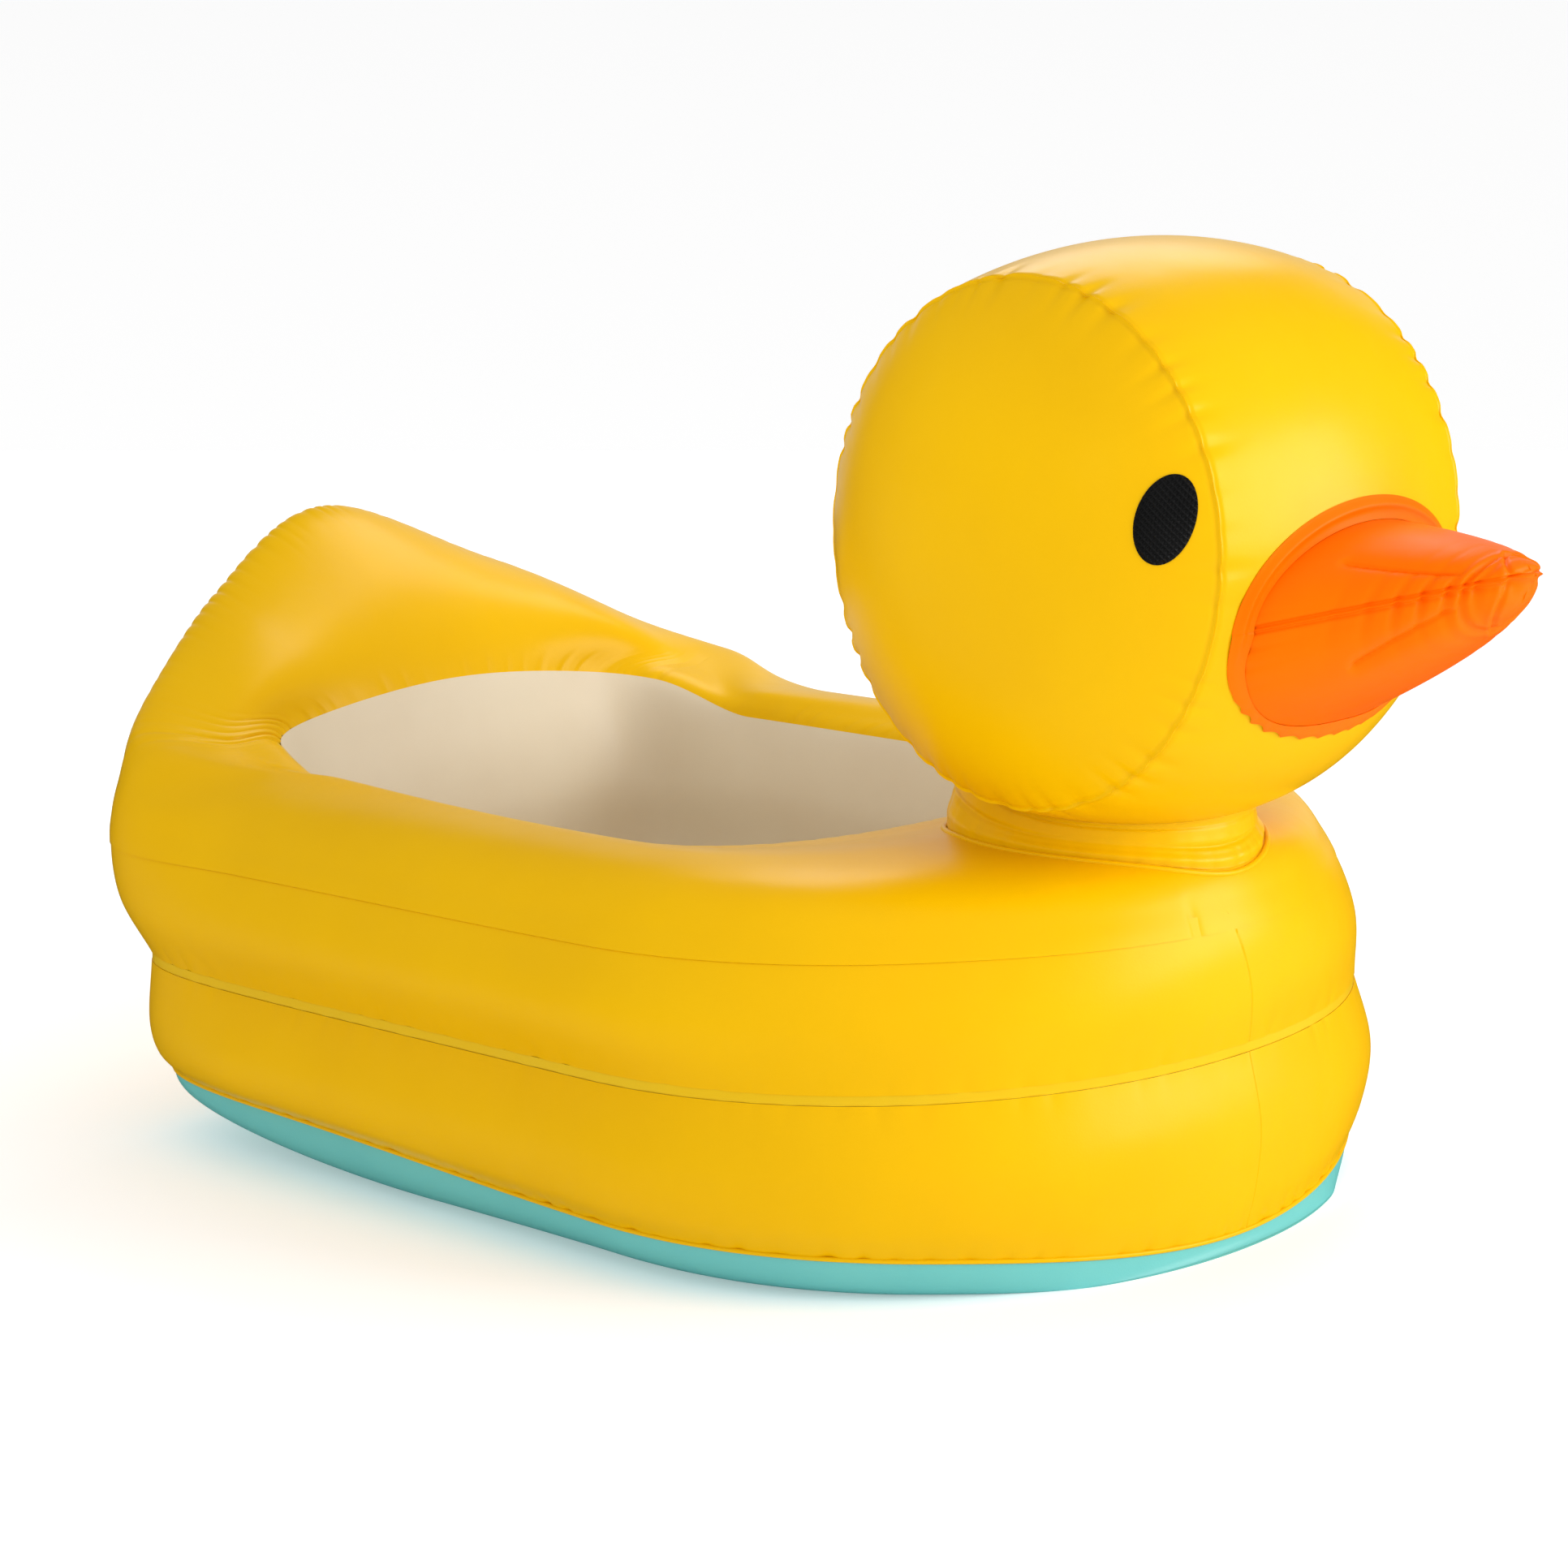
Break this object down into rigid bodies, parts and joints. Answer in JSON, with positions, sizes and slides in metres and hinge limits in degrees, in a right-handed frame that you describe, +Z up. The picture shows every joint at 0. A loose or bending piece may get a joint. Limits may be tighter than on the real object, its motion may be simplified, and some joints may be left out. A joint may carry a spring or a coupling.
{
  "type": "inflatable bathtub",
  "caption": "Inflatable bathtub shaped like a yellow duck, with stacked air rings, a high tail rim as a backrest, a white basin, a domed head on a short neck and an orange beak.",
  "frame": {"origin": "on the floor, under the middle of the overall length and width", "axes": "+X towards the beak, +Y towards the left side of the duck, +Z up"},
  "size_m": [0.856, 0.5564, 0.5164],
  "materials": {
    "yellow_vinyl": "satin soft vinyl with a faint embossed grain",
    "weld_vinyl": "translucent greenish yellow weld",
    "white_vinyl": "satin white vinyl",
    "aqua_vinyl": "satin aqua vinyl",
    "orange_vinyl": "satin orange vinyl",
    "black_vinyl": "matt black print with a fine embossed weave",
    "clear_vinyl": "milky clear vinyl"
  },
  "bodies": {
    "tub": {"upper_ring_top_panel": "yellow_vinyl", "upper_ring_side_panel": "yellow_vinyl", "lower_ring_side_panel": "yellow_vinyl", "base_seam_bead": "yellow_vinyl", "head_right_panel": "yellow_vinyl", "head_left_panel": "yellow_vinyl", "head_centre_strip": "yellow_vinyl", "neck_band": "yellow_vinyl", "neck_weld_bead": "yellow_vinyl", "waist_weld_band": "weld_vinyl", "ring_divider_sheet": "clear_vinyl", "base_sheet": "aqua_vinyl", "basin_liner": "white_vinyl", "basin_floor_sheet": "white_vinyl", "right_eye": "black_vinyl", "left_eye": "black_vinyl", "beak_upper_panel": "orange_vinyl", "beak_lower_panel": "orange_vinyl", "beak_flange": "orange_vinyl", "upper_ring_valve_seat": "clear_vinyl", "lower_ring_valve_seat": "clear_vinyl", "head_valve_seat": "clear_vinyl"},
    "upper_ring_stem": {"upper_ring_valve_stem": "clear_vinyl", "upper_ring_valve_flap": "clear_vinyl"},
    "upper_ring_cap": {"upper_ring_valve_cap": "clear_vinyl"},
    "lower_ring_stem": {"lower_ring_valve_stem": "clear_vinyl", "lower_ring_valve_flap": "clear_vinyl"},
    "lower_ring_cap": {"lower_ring_valve_cap": "clear_vinyl"},
    "head_stem": {"head_valve_stem": "clear_vinyl", "head_valve_flap": "clear_vinyl"},
    "head_cap": {"head_valve_cap": "clear_vinyl"}
  },
  "joints": [
    {"name": "upper_ring_valve_pull", "type": "slide", "parent": "tub", "child": "upper_ring_stem", "axis": [-0.8722, 0.0673, -0.4846], "range_m": [0, 0.012]},
    {"name": "upper_ring_cap_hinge", "type": "hinge", "parent": "upper_ring_stem", "child": "upper_ring_cap", "pos_m": [-0.36369, 0.11396, 0.14002], "axis": [0.4832, -0.0357, -0.8748], "range_deg": [0, 150]},
    {"name": "lower_ring_valve_pull", "type": "slide", "parent": "tub", "child": "lower_ring_stem", "axis": [-0.9986, -0.0312, 0.042], "range_m": [0, 0.012]},
    {"name": "lower_ring_cap_hinge", "type": "hinge", "parent": "lower_ring_stem", "child": "lower_ring_cap", "pos_m": [-0.34376, -0.09403, 0.07199], "axis": [-0.042, -0.0022, -0.9991], "range_deg": [0, 150]},
    {"name": "head_valve_pull", "type": "slide", "parent": "tub", "child": "head_stem", "axis": [-0.9633, 0, -0.2683], "range_m": [0, 0.012]},
    {"name": "head_cap_hinge", "type": "hinge", "parent": "head_stem", "child": "head_cap", "pos_m": [0.06699, 0, 0.33631], "axis": [0, 1, 0], "range_deg": [0, 150]}
  ]
}
